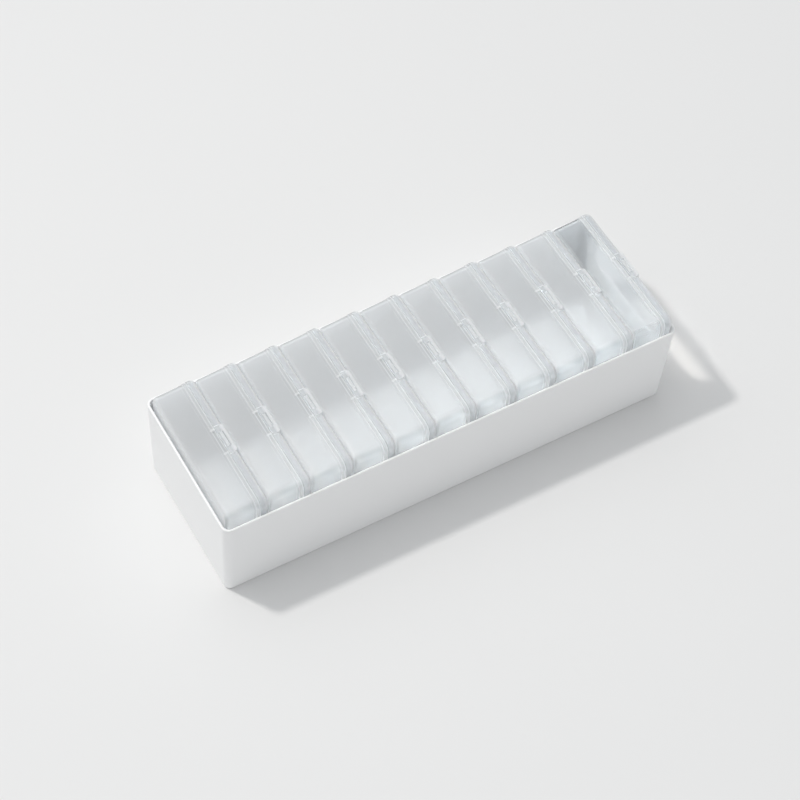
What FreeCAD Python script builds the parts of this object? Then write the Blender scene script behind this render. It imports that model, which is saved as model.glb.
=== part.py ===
import FreeCAD, Part
import math
import os

# A white open tray holding a row of clear lidded cases that stand on their hinge edges.
# X runs along the row, Y across it with the front at -Y, Z is up.
# The origin is the middle of the tray's underside. All lengths are in millimetres.

# Tray: outside sizes at the rim, walls and floor
tray_length = 300.0
tray_width = 100.0
tray_height = 65.0
tray_wall = 1.4
tray_floor = 2.0
tray_base_inset = 1.0
tray_corner_radius = 5.0
tray_base_round = 1.5
tray_inner_round = 0.8
rim_round = 0.45

# Finger notch in the rim of the end wall at +X
finger_notch_width = 68.0
finger_notch_depth = 25.0
finger_notch_round = 8.0
finger_notch_lip_round = 4.0

# Row of cases
overall_height = 75.0
case_count = 11
case_gap = 0.4
row_end_gap = 0.25
case_side_gap = 0.3

# Case outline, taken at the lid's skirt
case_corner_radius = 6.0
lid_edge_round = 3.0
lid_depth = 5.3
lid_wall = 1.1
lid_plate = 1.2
lid_inner_round = 1.0
skirt_edge_round = 0.45
parting_gap = 0.1

# Body: insets from the lid's outline, wall sizes, flange and lip
flange_width = 4.2
bead_width = 2.1
flange_inset = 0.62
bead_inset = 0.2
mouth_inset = 0.75
panel_taper = 0.7
body_wall = 1.35
body_plate = 1.2
body_edge_round = 2.4
body_inner_round = 1.6
bead_edge_round = 0.3
lip_length = 2.9
lip_clearance = 0.15

# Latch: raised pad with a window on the lid, catch on the body's lip, notch in the bead
pad_length = 20.0
pad_rise = 0.4
pad_corner_round = 1.6
pad_edge_round = 0.3
window_length = 10.4
window_width = 2.6
window_bridge = 0.8
catch_clearance = 0.25
notch_length = 14.0

# Hinge: two stations on the lower edge, lid knuckles with stub pins between body lugs
hinge_radius = 1.6
hinge_floor_gap = 0.3
hinge_bite = 0.8
hinge_offset = 26.0
knuckle_length = 8.0
lug_length = 2.4
pin_radius = 0.8
pin_length = 2.2
pin_clearance = 0.05
hinge_clearance = 0.3

# How far a cutting shape runs past what it cuts
overrun = 2.0
plane_tolerance = 0.001

# Sizes that follow from those above
base_half_x = tray_length / 2 - tray_base_inset
base_half_y = tray_width / 2 - tray_base_inset
base_corner_radius = tray_corner_radius - tray_base_inset
tray_lean = tray_base_inset / tray_height
floor_half_x = base_half_x + tray_lean * tray_floor - tray_wall
floor_half_y = base_half_y + tray_lean * tray_floor - tray_wall
row_length = 2 * (floor_half_x - row_end_gap)
case_thickness = (row_length - (case_count - 1) * case_gap) / case_count
case_pitch = case_thickness + case_gap
row_start = -row_length / 2

hinge_z = tray_floor + hinge_floor_gap + hinge_radius
lid_bottom = hinge_z + hinge_bite
lid_top = overall_height - pad_rise
lid_half_y = floor_half_y - case_side_gap
lid_half_z = (lid_top - lid_bottom) / 2
mid_z = (lid_top + lid_bottom) / 2

lid_start = case_thickness - lid_depth
flange_end = lid_start - parting_gap
flange_start = flange_end - flange_width
bead_start = flange_end - bead_width
lip_end = flange_end + lip_length
lip_inset = lid_wall + lip_clearance
cavity_inset = mouth_inset + body_wall
hinge_x = flange_end + parting_gap / 2


def point(x, y, z):
    return FreeCAD.Vector(x, y, z)


def rounded_loop(half_a, half_b, radius, place):
    """A closed wire round a rectangle with round corners; place turns (a, b) into a point."""
    flat_a = half_a - radius
    flat_b = half_b - radius
    bulge = radius * math.sqrt(0.5)
    edges = []
    quarters = [(1, 1), (-1, 1), (-1, -1), (1, -1)]
    for index, (sign_a, sign_b) in enumerate(quarters):
        on_a = place(sign_a * half_a, sign_b * flat_b)
        on_b = place(sign_a * flat_a, sign_b * half_b)
        middle = place(sign_a * (flat_a + bulge), sign_b * (flat_b + bulge))
        first, last = (on_a, on_b) if sign_a == sign_b else (on_b, on_a)
        edges.append(Part.Arc(first, middle, last).toShape())
        next_a, next_b = quarters[(index + 1) % len(quarters)]
        if sign_a == sign_b:
            follow = place(next_a * flat_a, next_b * half_b)
        else:
            follow = place(next_a * half_a, next_b * flat_b)
        edges.append(Part.LineSegment(last, follow).toShape())
    return Part.Wire(edges)


def tray_loop(z, inset, corner):
    """The tray's outline at height z, moved in by inset."""
    out = tray_lean * z
    return rounded_loop(
        base_half_x + out - inset,
        base_half_y + out - inset,
        corner + out - inset,
        lambda a, b: point(a, b, z),
    )


def case_loop(x, inset):
    """The case's outline at x, moved in from the lid's outline by inset."""
    return rounded_loop(
        lid_half_y - inset,
        lid_half_z - inset,
        case_corner_radius - inset,
        lambda a, b: point(x, a, mid_z + b),
    )


def between(first, second):
    """The solid between two outlines."""
    return Part.makeLoft([first, second], True, True)


def straight(x_from, x_to, inset):
    """A straight run of the case's outline along X."""
    return Part.Face(case_loop(x_from, inset)).extrude(point(x_to - x_from, 0, 0))


def block(x_from, x_to, y_from, y_to, z_from, z_to):
    return Part.makeBox(x_to - x_from, y_to - y_from, z_to - z_from, point(x_from, y_from, z_from))


def edges_in_plane(shape, axis, value):
    """The edges of a shape that lie in the plane where one coordinate has the value."""
    found = []
    for edge in shape.Edges:
        box = edge.BoundBox
        low, high = {"X": (box.XMin, box.XMax), "Z": (box.ZMin, box.ZMax)}[axis]
        if abs(low - value) < plane_tolerance and abs(high - value) < plane_tolerance:
            found.append(edge)
    return found


def rounded(shape, radius, axis, value):
    return shape.makeFillet(radius, edges_in_plane(shape, axis, value))


def barrel(radius, y_from, y_to):
    """A round bar on the hinge axis."""
    return Part.makeCylinder(radius, y_to - y_from, point(hinge_x, y_from, hinge_z), point(0, 1, 0))


def finger_notch():
    """Cuts the end wall at +X down from its rim, with round lower corners."""
    half = finger_notch_width / 2
    bottom = tray_height - finger_notch_depth
    cutter = block(
        tray_length / 2 - tray_wall - overrun,
        tray_length / 2 + overrun,
        -half,
        half,
        bottom,
        tray_height + overrun,
    )
    lowest = edges_in_plane(cutter, "Z", bottom)
    corners = [edge for edge in lowest if edge.BoundBox.YLength < plane_tolerance]
    return cutter.makeFillet(finger_notch_round, corners)


def along_rim(edge):
    """True for an edge that runs round the tray's mouth or the notch, not across the wall."""
    box = edge.BoundBox
    at_rim = box.ZMin > tray_height - plane_tolerance
    reach = finger_notch_width / 2 + finger_notch_lip_round + plane_tolerance
    at_notch = (
        box.XMin > floor_half_x
        and max(-box.YMin, box.YMax) < reach
        and box.ZMin > tray_height - finger_notch_depth - plane_tolerance
    )
    across_wall = box.XLength > box.YLength + box.ZLength and box.XLength < tray_wall + plane_tolerance
    return (at_rim or at_notch) and not across_wall


def make_tray():
    outer = between(tray_loop(0, 0, base_corner_radius), tray_loop(tray_height, 0, base_corner_radius))
    outer = rounded(outer, tray_base_round, "Z", 0)
    top = tray_height + overrun
    inner = between(
        tray_loop(tray_floor, tray_wall, base_corner_radius),
        tray_loop(top, tray_wall, base_corner_radius),
    )
    inner = rounded(inner, tray_inner_round, "Z", tray_floor)
    tray = outer.cut(inner).cut(finger_notch())
    lips = [
        edge
        for edge in edges_in_plane(tray, "Z", tray_height)
        if abs(abs(edge.CenterOfMass.y) - finger_notch_width / 2) < plane_tolerance
    ]
    tray = tray.makeFillet(finger_notch_lip_round, lips)
    return tray.makeFillet(rim_round, [edge for edge in tray.Edges if along_rim(edge)])


def notch_cutter():
    """Frees the bead at the latch, leaving a round end on the bead at each side."""
    end_radius = bead_width / 2
    half = notch_length / 2
    middle_x = bead_start + end_radius
    bottom = mid_z
    height = overall_height + overrun - bottom
    cutter = block(
        bead_start - overrun,
        flange_end + overrun,
        -half - end_radius,
        half + end_radius,
        bottom,
        bottom + height,
    )
    for side in (-1, 1):
        centre = point(middle_x, side * (half + end_radius), bottom)
        cutter = cutter.cut(Part.makeCylinder(end_radius, height, centre))
    return cutter


def hinge_ends():
    """For each hinge station: where the lid's knuckle starts and ends along Y."""
    half = knuckle_length / 2
    for side in (-1, 1):
        middle = side * hinge_offset
        yield middle - half, middle + half


def make_body():
    panel = between(
        case_loop(0, mouth_inset + panel_taper),
        case_loop(flange_start, mouth_inset),
    )
    panel = rounded(panel, body_edge_round, "X", 0)
    sleeve = straight(flange_start, flange_end, flange_inset)
    bead = straight(bead_start, flange_end, bead_inset)
    bead = rounded(bead, bead_edge_round, "X", bead_start)
    bead = bead.cut(notch_cutter())
    lip = straight(flange_end, lip_end, lip_inset)
    body = panel.fuse([sleeve, bead, lip])

    catch_start = lid_start + window_bridge + catch_clearance
    catch_end = min(lid_start + window_bridge + window_width - catch_clearance, lip_end)
    catch_half = window_length / 2 - catch_clearance
    lip_top = lid_top - lip_inset
    catch_top = overall_height - catch_clearance
    catch = block(catch_start, catch_end, -catch_half, catch_half, lip_top - lid_wall / 2, catch_top)
    body = body.fuse(catch)

    flank = hinge_radius + hinge_clearance
    for low, high in hinge_ends():
        pocket = block(
            hinge_x - flank,
            lip_end,
            low - hinge_clearance,
            high + hinge_clearance,
            0,
            hinge_z + flank,
        )
        body = body.cut(pocket)
        for outer, inner in ((low - hinge_clearance - lug_length, low - hinge_clearance),
                             (high + hinge_clearance, high + hinge_clearance + lug_length)):
            heel = hinge_x - hinge_radius
            foot = block(heel, hinge_x, outer, inner, tray_floor, hinge_z)
            root = block(heel, flange_end, outer, inner, hinge_z, lid_bottom + cavity_inset / 2)
            lug = barrel(hinge_radius, outer, inner).fuse([foot, root])
            lug = lug.cut(barrel(pin_radius + pin_clearance, outer - overrun, inner + overrun))
            body = body.fuse(lug)

    hollow = between(
        case_loop(body_plate, cavity_inset + panel_taper - panel_taper * body_plate / flange_start),
        case_loop(flange_start, cavity_inset),
    )
    hollow = rounded(hollow, body_inner_round, "X", body_plate)
    mouth = straight(flange_start, lip_end + overrun, cavity_inset)
    return body.cut(hollow.fuse(mouth)).removeSplitter()


def make_lid():
    shell = straight(lid_start, case_thickness, 0)
    shell = rounded(shell, lid_edge_round, "X", case_thickness)
    shell = rounded(shell, skirt_edge_round, "X", lid_start)

    half = pad_length / 2
    pad = block(lid_start, case_thickness, -half, half, lid_top - lid_edge_round, overall_height)
    corners = [
        edge
        for edge in edges_in_plane(pad, "X", case_thickness)
        if edge.BoundBox.ZLength > edge.BoundBox.YLength
    ]
    pad = pad.makeFillet(pad_corner_round, corners)
    pad = rounded(pad, pad_edge_round, "Z", overall_height)
    lid = shell.fuse(pad)

    hollow = straight(lid_start - overrun, case_thickness - lid_plate, lid_wall)
    hollow = rounded(hollow, lid_inner_round, "X", case_thickness - lid_plate)
    lid = lid.cut(hollow)

    window_start = lid_start + window_bridge
    window_half = window_length / 2
    window = block(
        window_start,
        window_start + window_width,
        -window_half,
        window_half,
        lid_top - lip_inset,
        overall_height + overrun,
    )
    lid = lid.cut(window)

    flank = hinge_radius + hinge_clearance
    for low, high in hinge_ends():
        reach = hinge_clearance + lug_length + hinge_clearance
        for start, end in ((low - reach, low), (high, high + reach)):
            lid = lid.cut(block(lid_start - overrun, hinge_x + flank, start, end, 0, hinge_z + flank))
        knuckle = barrel(hinge_radius, low, high)
        pins = barrel(pin_radius, low - hinge_clearance - pin_length, high + hinge_clearance + pin_length)
        lid = lid.fuse([knuckle, pins])
    return lid.removeSplitter()


def keep(shape, name):
    shape.Solids[0].exportStep("parts/" + name + ".step")
    print(name, len(shape.Solids), shape.isValid())


os.makedirs("parts", exist_ok=True)
keep(make_tray(), "tray")
body_shape = make_body()
lid_shape = make_lid()
for number in range(case_count):
    shift = point(row_start + number * case_pitch, 0, 0)
    for piece, shape in (("body", body_shape), ("lid", lid_shape)):
        keep(shape.translated(shift), f"case_{number + 1:02d}_{piece}")
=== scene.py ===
import math

import bpy
from mathutils import Matrix, Vector

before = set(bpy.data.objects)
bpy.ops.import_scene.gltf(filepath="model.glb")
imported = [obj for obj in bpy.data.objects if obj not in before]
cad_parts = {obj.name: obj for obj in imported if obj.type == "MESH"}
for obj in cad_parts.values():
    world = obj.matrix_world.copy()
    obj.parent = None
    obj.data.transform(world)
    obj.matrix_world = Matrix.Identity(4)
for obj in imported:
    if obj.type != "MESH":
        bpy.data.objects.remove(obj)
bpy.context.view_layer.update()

scene = bpy.context.scene


def reach(name, axis):
    """Least and greatest place of a node along an axis, in metres."""
    places = [corner[axis] for corner in bpy.data.objects[name].bound_box]
    return min(places), max(places)


# Places taken from the solids
row_start = reach("case_01_body", 0)[0]
case_pitch = reach("case_02_body", 0)[0] - row_start
last_case = reach("case_11_body", 0)[0]
case_half_width = reach("case_01_lid", 1)[1]
tray_top = reach("tray", 2)[1]

# Depths in a case from its back plate, in metres
back_edge = 0.001
back_edge_fade = 0.0008
flange_line = 0.0169
flange_fade = 0.0004
panel_end = 0.0183
bead_line = 0.01878
parting_line = 0.02058
lid_start = 0.0212
lid_edge = 0.0246
lid_edge_start = 0.0236
lid_edge_full = 0.0252
line_half = 0.00018
bead_reach = 0.0022
fade = 0.0003

# Latch: half lengths along a case's width, line widths, and the window's depth in the case
bead_gap_half = 0.0081
bead_end_half = 0.0086
bead_end_width = 0.0009
pad_half = 0.010
pad_line_width = 0.0005
window_half = 0.0052
window_depth = 0.0232
window_reach = 0.0016

# Where the flat plates turn milky: below the tray's rim, and in from a case's sides
top_start = tray_top - 0.005
top_full = tray_top + 0.001
# Painted highlight: the first case's outer plate turns milky further down, for the light its thick edge
# catches beside the rim
first_plate_highlight_start = tray_top - 0.015
first_plate_highlight_full = tray_top - 0.007
side_start = case_half_width - 0.008
side_full = case_half_width - 0.003

# Milkiness shares of a case: the panel, lid and plate shares are the frost; the edge, back edge, flange
# and line shares are painted highlights, extra milkiness standing in for the light that the thick edges
# and steps catch and bend
panel_milk = 0.6
back_edge_highlight_milk = 0.68
flange_highlight_milk = 0.67
line_highlight_milk = 0.8
lid_milk = 0.46
edge_highlight_milk = 0.94
plate_milk = 0.03

# What is added to the share, or taken from it, at single places: painted highlights at the bead's ends,
# the latch pad and the window; the last panel painted clearer for the scattered light it lacks; front
# sides cleared where the lamp leaves them in shade
bead_end_highlight_milk = 0.2
pad_end_highlight_milk = 0.35
window_highlight_milk = 0.3
bead_gap_clear = 0.04
end_panel_glow_clear = 0.36
shaded_front_clear = 0.5

# Light: levels of the surround, and the lamp
base_level = 0.32
soft_level = 0.92
soft_from = (-0.2, 0.35, 0.915)
soft_start = 0.55
soft_full = 0.95
glow_level = 0.30
glow_front_level = 0.24
glow_from = (0.5, -0.866, 0.0)
glow_start = 0.65
glow_full = 0.15
key_place = (-0.395, 0.312, 0.959)
key_radius = 0.038
key_power = 13.9

# Camera: turned about a point of the box
view_turn = (-34.328, 55.037, 5.547)
view_centre = (-0.008993, 0.000476, 0.035)
view_distance = 1.246218
view_lens = 95.073

floor_half = 6.0


class Nodes:
    """A new node material, with short calls to add nodes and links."""

    def __init__(self, name):
        self.material = bpy.data.materials.new(name)
        self.material.use_nodes = True
        self.tree = self.material.node_tree
        self.tree.nodes.clear()
        self.out = self.add("ShaderNodeOutputMaterial")

    @classmethod
    def of(cls, tree):
        """The same short calls on a node tree that exists."""
        nodes = cls.__new__(cls)
        nodes.tree = tree
        return nodes

    def add(self, kind, inputs=None, **props):
        node = self.tree.nodes.new(kind)
        for key, value in props.items():
            setattr(node, key, value)
        for key, value in (inputs or {}).items():
            if isinstance(value, bpy.types.NodeSocket):
                self.tree.links.new(value, node.inputs[key])
            else:
                node.inputs[key].default_value = value
        return node

    def maths(self, operation, a, b=0.0, c=0.0):
        return self.add("ShaderNodeMath", {0: a, 1: b, 2: c}, operation=operation).outputs[0]

    def times(self, a, b):
        return self.maths("MULTIPLY", a, b)

    def plus(self, a, b):
        return self.maths("ADD", a, b)

    def greatest(self, *values):
        first, *others = values
        for value in others:
            first = self.maths("MAXIMUM", first, value)
        return first

    def noise(self, where, scale, detail=3.0):
        node = self.add("ShaderNodeTexNoise", {"Vector": where, "Scale": scale, "Detail": detail})
        return node.outputs["Fac"]

    def spread(self, value, low, high):
        """A noise value spread from low to high."""
        limits = {"From Min": 0.3, "From Max": 0.7, "To Min": low, "To Max": high}
        return self.add("ShaderNodeMapRange", {"Value": value, **limits}).outputs["Result"]

    def ramp(self, value, start, end):
        """0 before start and 1 after end, or the reverse where end is the smaller."""
        limits = {
            "From Min": min(start, end),
            "From Max": max(start, end),
            "To Min": float(start > end),
            "To Max": float(end > start),
        }
        node = self.add("ShaderNodeMapRange", {"Value": value, **limits}, interpolation_type="SMOOTHSTEP")
        return node.outputs["Result"]

    def band(self, value, centre, half):
        """1 at centre, falling to 0 at half from it."""
        away = self.maths("ABSOLUTE", self.maths("SUBTRACT", value, centre))
        return self.ramp(away, half, half * 0.4)

    def profile(self, value, stops):
        """A curve through (place, level) stops, straight between them."""
        ramp = self.add("ShaderNodeValToRGB", {"Fac": value})
        elements = ramp.color_ramp.elements
        while len(elements) < len(stops):
            elements.new(0.5)
        for element, (place, level) in zip(elements, stops):
            element.position = place
            element.color = (level, level, level, 1)
        return ramp.outputs["Color"]

    def blend(self, share, first, second):
        """A colour between two, each a colour or a socket."""
        node = self.add("ShaderNodeMix", {"Factor": share}, data_type="RGBA")
        for key, colour in (("A", first), ("B", second)):
            if isinstance(colour, bpy.types.NodeSocket):
                self.tree.links.new(colour, node.inputs[key])
            else:
                node.inputs[key].default_value = (*colour, 1)
        return node.outputs["Result"]

    def bump(self, height, strength, distance):
        node = self.add("ShaderNodeBump", {"Height": height, "Strength": strength, "Distance": distance})
        return node.outputs["Normal"]

    def mix(self, share, first, second):
        return self.add("ShaderNodeMixShader", {0: share, 1: first, 2: second}).outputs[0]

    def finish(self, shader):
        self.tree.links.new(shader, self.out.inputs["Surface"])
        return self.material


def white_plastic():
    """Satin white moulding: faint cloudiness, fine moulded grain."""
    m = Nodes("tray_plastic")
    where = m.add("ShaderNodeTexCoord").outputs["Object"]
    shader = m.add(
        "ShaderNodeBsdfPrincipled",
        {
            "Base Color": m.blend(m.noise(where, 14.0, 4.0), (0.93, 0.931, 0.932), (0.942, 0.943, 0.944)),
            "Roughness": m.spread(m.noise(where, 60.0), 0.34, 0.46),
            "Normal": m.bump(m.noise(where, 2600.0, 2.0), 0.08, 0.00006),
        },
    )
    return m.finish(shader.outputs[0])


def depth_stops():
    """Milkiness from one case's back plate to the next: painted highlights as extra milkiness at the
    edges and lines, clearer panel and lid.
    """
    stops = [
        (0.0, edge_highlight_milk),
        (back_edge, back_edge_highlight_milk),
        (back_edge + back_edge_fade, panel_milk),
        (flange_line - flange_fade, panel_milk),
        (flange_line, flange_highlight_milk),
        (flange_line + flange_fade, panel_milk),
    ]
    # Painted highlights: extra milkiness along the bead's edge and the parting line
    for line in (bead_line, parting_line):
        stops += [
            (line - line_half - fade, panel_milk),
            (line - line_half, line_highlight_milk),
            (line + line_half, line_highlight_milk),
            (line + line_half + fade, panel_milk),
        ]
    # Painted highlights along the lid's edge and the rounded edge to the next case, which also cover the
    # shade in the gap
    stops += [
        (lid_start, lid_milk),
        (lid_edge_start, lid_milk),
        (lid_edge, line_highlight_milk),
        (lid_edge_full, edge_highlight_milk),
        (case_pitch, edge_highlight_milk),
    ]
    return [(depth / case_pitch, share) for depth, share in stops]


def milk_and_highlight_share(m, turn, depth, middle, end_panel):
    """Milkiness over a case's narrow sides, with painted highlights at the bead's ends, latch pad and
    window, and the last panel painted clearer.
    """
    share = m.profile(turn, depth_stops())
    on_bead = m.band(depth, (bead_line + parting_line) / 2, bead_reach)
    on_lid = m.ramp(depth, lid_start - fade, lid_start)
    bead_gap = m.times(on_bead, m.ramp(middle, bead_gap_half + fade, bead_gap_half - fade))
    bead_end = m.times(on_bead, m.band(middle, bead_end_half, bead_end_width))
    pad_end = m.times(on_lid, m.band(middle, pad_half, pad_line_width))
    in_window = m.ramp(middle, window_half + fade, window_half - fade)
    window = m.times(in_window, m.band(depth, window_depth, window_reach))
    # Painted highlights at the bead's ends, pad ends and window; painted clearer last panel
    for place, change in (
        (end_panel, -end_panel_glow_clear),
        (bead_gap, -bead_gap_clear),
        (bead_end, bead_end_highlight_milk),
        (pad_end, pad_end_highlight_milk),
        (window, window_highlight_milk),
    ):
        share = m.maths("MULTIPLY_ADD", place, change, share)
    return share


def lamp_colour(m, narrow, depth, end_case):
    """What a case lets through of a lamp's light: least at the lid's rim, most at the flat plates."""
    rim = m.ramp(depth, panel_end, bead_line + fade)
    side = m.blend(rim, (0.95, 0.935, 0.92), (0.42, 0.413, 0.406))
    side = m.blend(m.times(rim, end_case), side, (0.12, 0.12, 0.12))
    return m.blend(narrow, (0.995, 0.992, 0.988), side)


def clear_plastic():
    """Frosted clear moulding: clear flat plates, milky narrow sides; the brighter edges, lines and latch
    are painted highlights, the first plate's top is painted brighter, the last panel painted clearer and
    the shaded front sides cleared.
    """
    m = Nodes("case_plastic")
    place = m.add("ShaderNodeTexCoord")
    where = place.outputs["Object"]
    along = m.add("ShaderNodeSeparateXYZ", {0: where}).outputs
    turn = m.maths("FRACT", m.times(m.maths("SUBTRACT", along["X"], row_start), 1.0 / case_pitch))
    depth = m.times(turn, case_pitch)
    middle = m.maths("ABSOLUTE", along["Y"])
    entering = m.maths("SUBTRACT", 1.0, m.add("ShaderNodeNewGeometry").outputs["Backfacing"])
    end_case = m.ramp(along["X"], last_case - fade, last_case)

    outward = m.add("ShaderNodeSeparateXYZ", {0: place.outputs["Normal"]}).outputs
    narrow = m.ramp(m.maths("ABSOLUTE", outward["X"]), 0.995, 0.9)
    in_panel = m.ramp(depth, panel_end, panel_end - 2 * fade)
    # Painted light: panel sides that face the front, which the lamp leaves in shade, lose half their
    # milkiness so they read clearer
    front_panel = m.times(m.ramp(outward["Y"], -0.2, -0.8), in_panel)
    near_top = m.ramp(along["Z"], top_start, top_full)
    near_side = m.ramp(middle, side_start, side_full)
    # Painted highlight: the first case's outer plate made milky lower down, so the band beside the tray's
    # rim reads bright
    on_first_plate = m.ramp(along["X"], row_start + back_edge, row_start + fade)
    first_plate_highlight = m.times(on_first_plate, m.ramp(along["Z"], first_plate_highlight_start, first_plate_highlight_full))
    milk_and_painted_light = m.greatest(narrow, near_top, near_side, first_plate_highlight)
    milk_and_painted_light = m.times(milk_and_painted_light, m.maths("MULTIPLY_ADD", front_panel, -shaded_front_clear, 1.0))

    ripple = m.noise(where, 90.0, 2.0)
    normal = m.bump(ripple, 0.1, 0.0004)
    # Painted light: the last case's panel is made clearer, as it lacks the light scattered from
    # neighbouring cases
    end_panel = m.times(end_case, in_panel)
    share = m.plus(m.times(milk_and_painted_light, milk_and_highlight_share(m, turn, depth, middle, end_panel)), plate_milk)
    share = m.times(m.maths("MINIMUM", share, edge_highlight_milk), entering)
    milk = {"Color": (0.957, 0.967, 0.977, 1), "Normal": normal}
    lit_side = m.add("ShaderNodeBsdfDiffuse", milk)
    far_side = m.add("ShaderNodeBsdfTranslucent", milk)
    haze = m.mix(0.3, lit_side.outputs[0], far_side.outputs[0])
    sight = m.add(
        "ShaderNodeBsdfGlass",
        {
            "Color": (0.975, 0.989, 0.999, 1),
            "Roughness": m.maths("MULTIPLY_ADD", narrow, 0.12, 0.12),
            "IOR": 1.12,
            "Normal": normal,
        },
        distribution="MULTI_GGX",
    )
    wall = m.mix(share, sight.outputs[0], haze)

    facing = m.add("ShaderNodeLayerWeight", {"Blend": 0.5, "Normal": normal}).outputs["Facing"]
    mirror = m.maths("MULTIPLY_ADD", m.maths("POWER", facing, 5.0), 0.6, 0.02)
    gloss = m.add(
        "ShaderNodeBsdfAnisotropic",
        {"Color": (1, 1, 1, 1), "Roughness": m.spread(ripple, 0.1, 0.18), "Normal": normal},
    )
    seen = m.mix(m.times(mirror, entering), wall, gloss.outputs[0])

    lamp_side = m.add("ShaderNodeBsdfTransparent", {"Color": lamp_colour(m, narrow, depth, end_case)})
    lamp_ray = m.add("ShaderNodeLightPath").outputs["Is Shadow Ray"]
    return m.finish(m.mix(lamp_ray, seen, lamp_side.outputs[0]))


def matt_floor():
    """Pale matt sheet with a faint unevenness of tone."""
    m = Nodes("studio_floor")
    where = m.add("ShaderNodeTexCoord").outputs["Object"]
    shade = m.blend(m.noise(where, 3.0, 2.0), (0.795, 0.793, 0.791), (0.805, 0.803, 0.801))
    shader = m.add(
        "ShaderNodeBsdfPrincipled",
        {"Base Color": shade, "Roughness": 0.9, "Specular IOR Level": 0.1},
    )
    return m.finish(shader.outputs[0])


def dress_nodes():
    """Plastics on the solids: white for the tray, clear for the cases."""
    tray_plastic = white_plastic()
    case_plastic = clear_plastic()
    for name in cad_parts:
        node = bpy.data.objects[name]
        plastic = tray_plastic if name == "tray" else case_plastic
        if not node.material_slots:
            node.data.materials.append(plastic)
        for slot in node.material_slots:
            slot.material = plastic


def lay_floor():
    mesh = bpy.data.meshes.new("floor")
    corners = [(x * floor_half, y * floor_half, 0) for x, y in ((-1, -1), (1, -1), (1, 1), (-1, 1))]
    mesh.from_pydata(corners, [], [(0, 1, 2, 3)])
    floor = bpy.data.objects.new("floor", mesh)
    scene.collection.objects.link(floor)
    floor.data.materials.append(matt_floor())


def set_surround():
    """A soft light overhead and a pale glow round the horizon, stronger in front."""
    scene.world = bpy.data.worlds.new("surround")
    scene.world.use_nodes = True
    tree = scene.world.node_tree
    sky = Nodes.of(tree)
    toward = sky.add("ShaderNodeTexCoord").outputs["Generated"]
    height = sky.add("ShaderNodeSeparateXYZ", {0: toward}).outputs["Z"]
    overhead, front = (
        sky.add("ShaderNodeVectorMath", {0: toward, 1: source}, operation="DOT_PRODUCT").outputs["Value"]
        for source in (soft_from, glow_from)
    )
    glow = sky.maths("MULTIPLY_ADD", front, glow_front_level, glow_level)
    glow = sky.times(sky.ramp(height, glow_start, glow_full), glow)
    soft = sky.times(sky.ramp(overhead, soft_start, soft_full), soft_level)
    background = tree.nodes["Background"]
    background.inputs["Color"].default_value = (0.966, 0.986, 1.0, 1)
    tree.links.new(sky.plus(sky.plus(glow, soft), base_level), background.inputs["Strength"])


def hang_key():
    """A small lamp high behind on the left, as bright far off as near."""
    key = bpy.data.lights.new("key", "POINT")
    key.energy = key_power
    key.shadow_soft_size = key_radius
    key.color = (1.0, 0.98, 0.955)
    key.use_nodes = True
    falloff = key.node_tree.nodes.new("ShaderNodeLightFalloff")
    falloff.inputs["Strength"].default_value = 1.0
    emission = key.node_tree.nodes["Emission"]
    key.node_tree.links.new(falloff.outputs["Constant"], emission.inputs["Strength"])
    lamp = bpy.data.objects.new("key", key)
    scene.collection.objects.link(lamp)
    lamp.location = key_place


def set_camera():
    azimuth, elevation, roll = (math.radians(turn) for turn in view_turn)
    right = Vector((math.cos(azimuth), math.sin(azimuth), 0))
    level = Vector((math.sin(azimuth), -math.cos(azimuth), 0))
    back = level * math.cos(elevation) + Vector((0, 0, math.sin(elevation)))
    up = back.cross(right)
    across = right * math.cos(roll) + up * math.sin(roll)
    upward = up * math.cos(roll) - right * math.sin(roll)
    view = bpy.data.cameras.new("camera")
    view.sensor_width = 36.0
    view.lens = view_lens
    view.clip_end = 50.0
    camera = bpy.data.objects.new("camera", view)
    scene.collection.objects.link(camera)
    eye = Vector(view_centre) + back * view_distance
    camera.matrix_world = Matrix.Translation(eye) @ Matrix((across, upward, back)).transposed().to_4x4()
    scene.camera = camera


scene.view_settings.view_transform = "Standard"
scene.cycles.transparent_max_bounces = 40
scene.cycles.max_bounces = 24
scene.cycles.diffuse_bounces = 10
scene.cycles.transmission_bounces = 24
dress_nodes()
lay_floor()
set_surround()
hang_key()
set_camera()
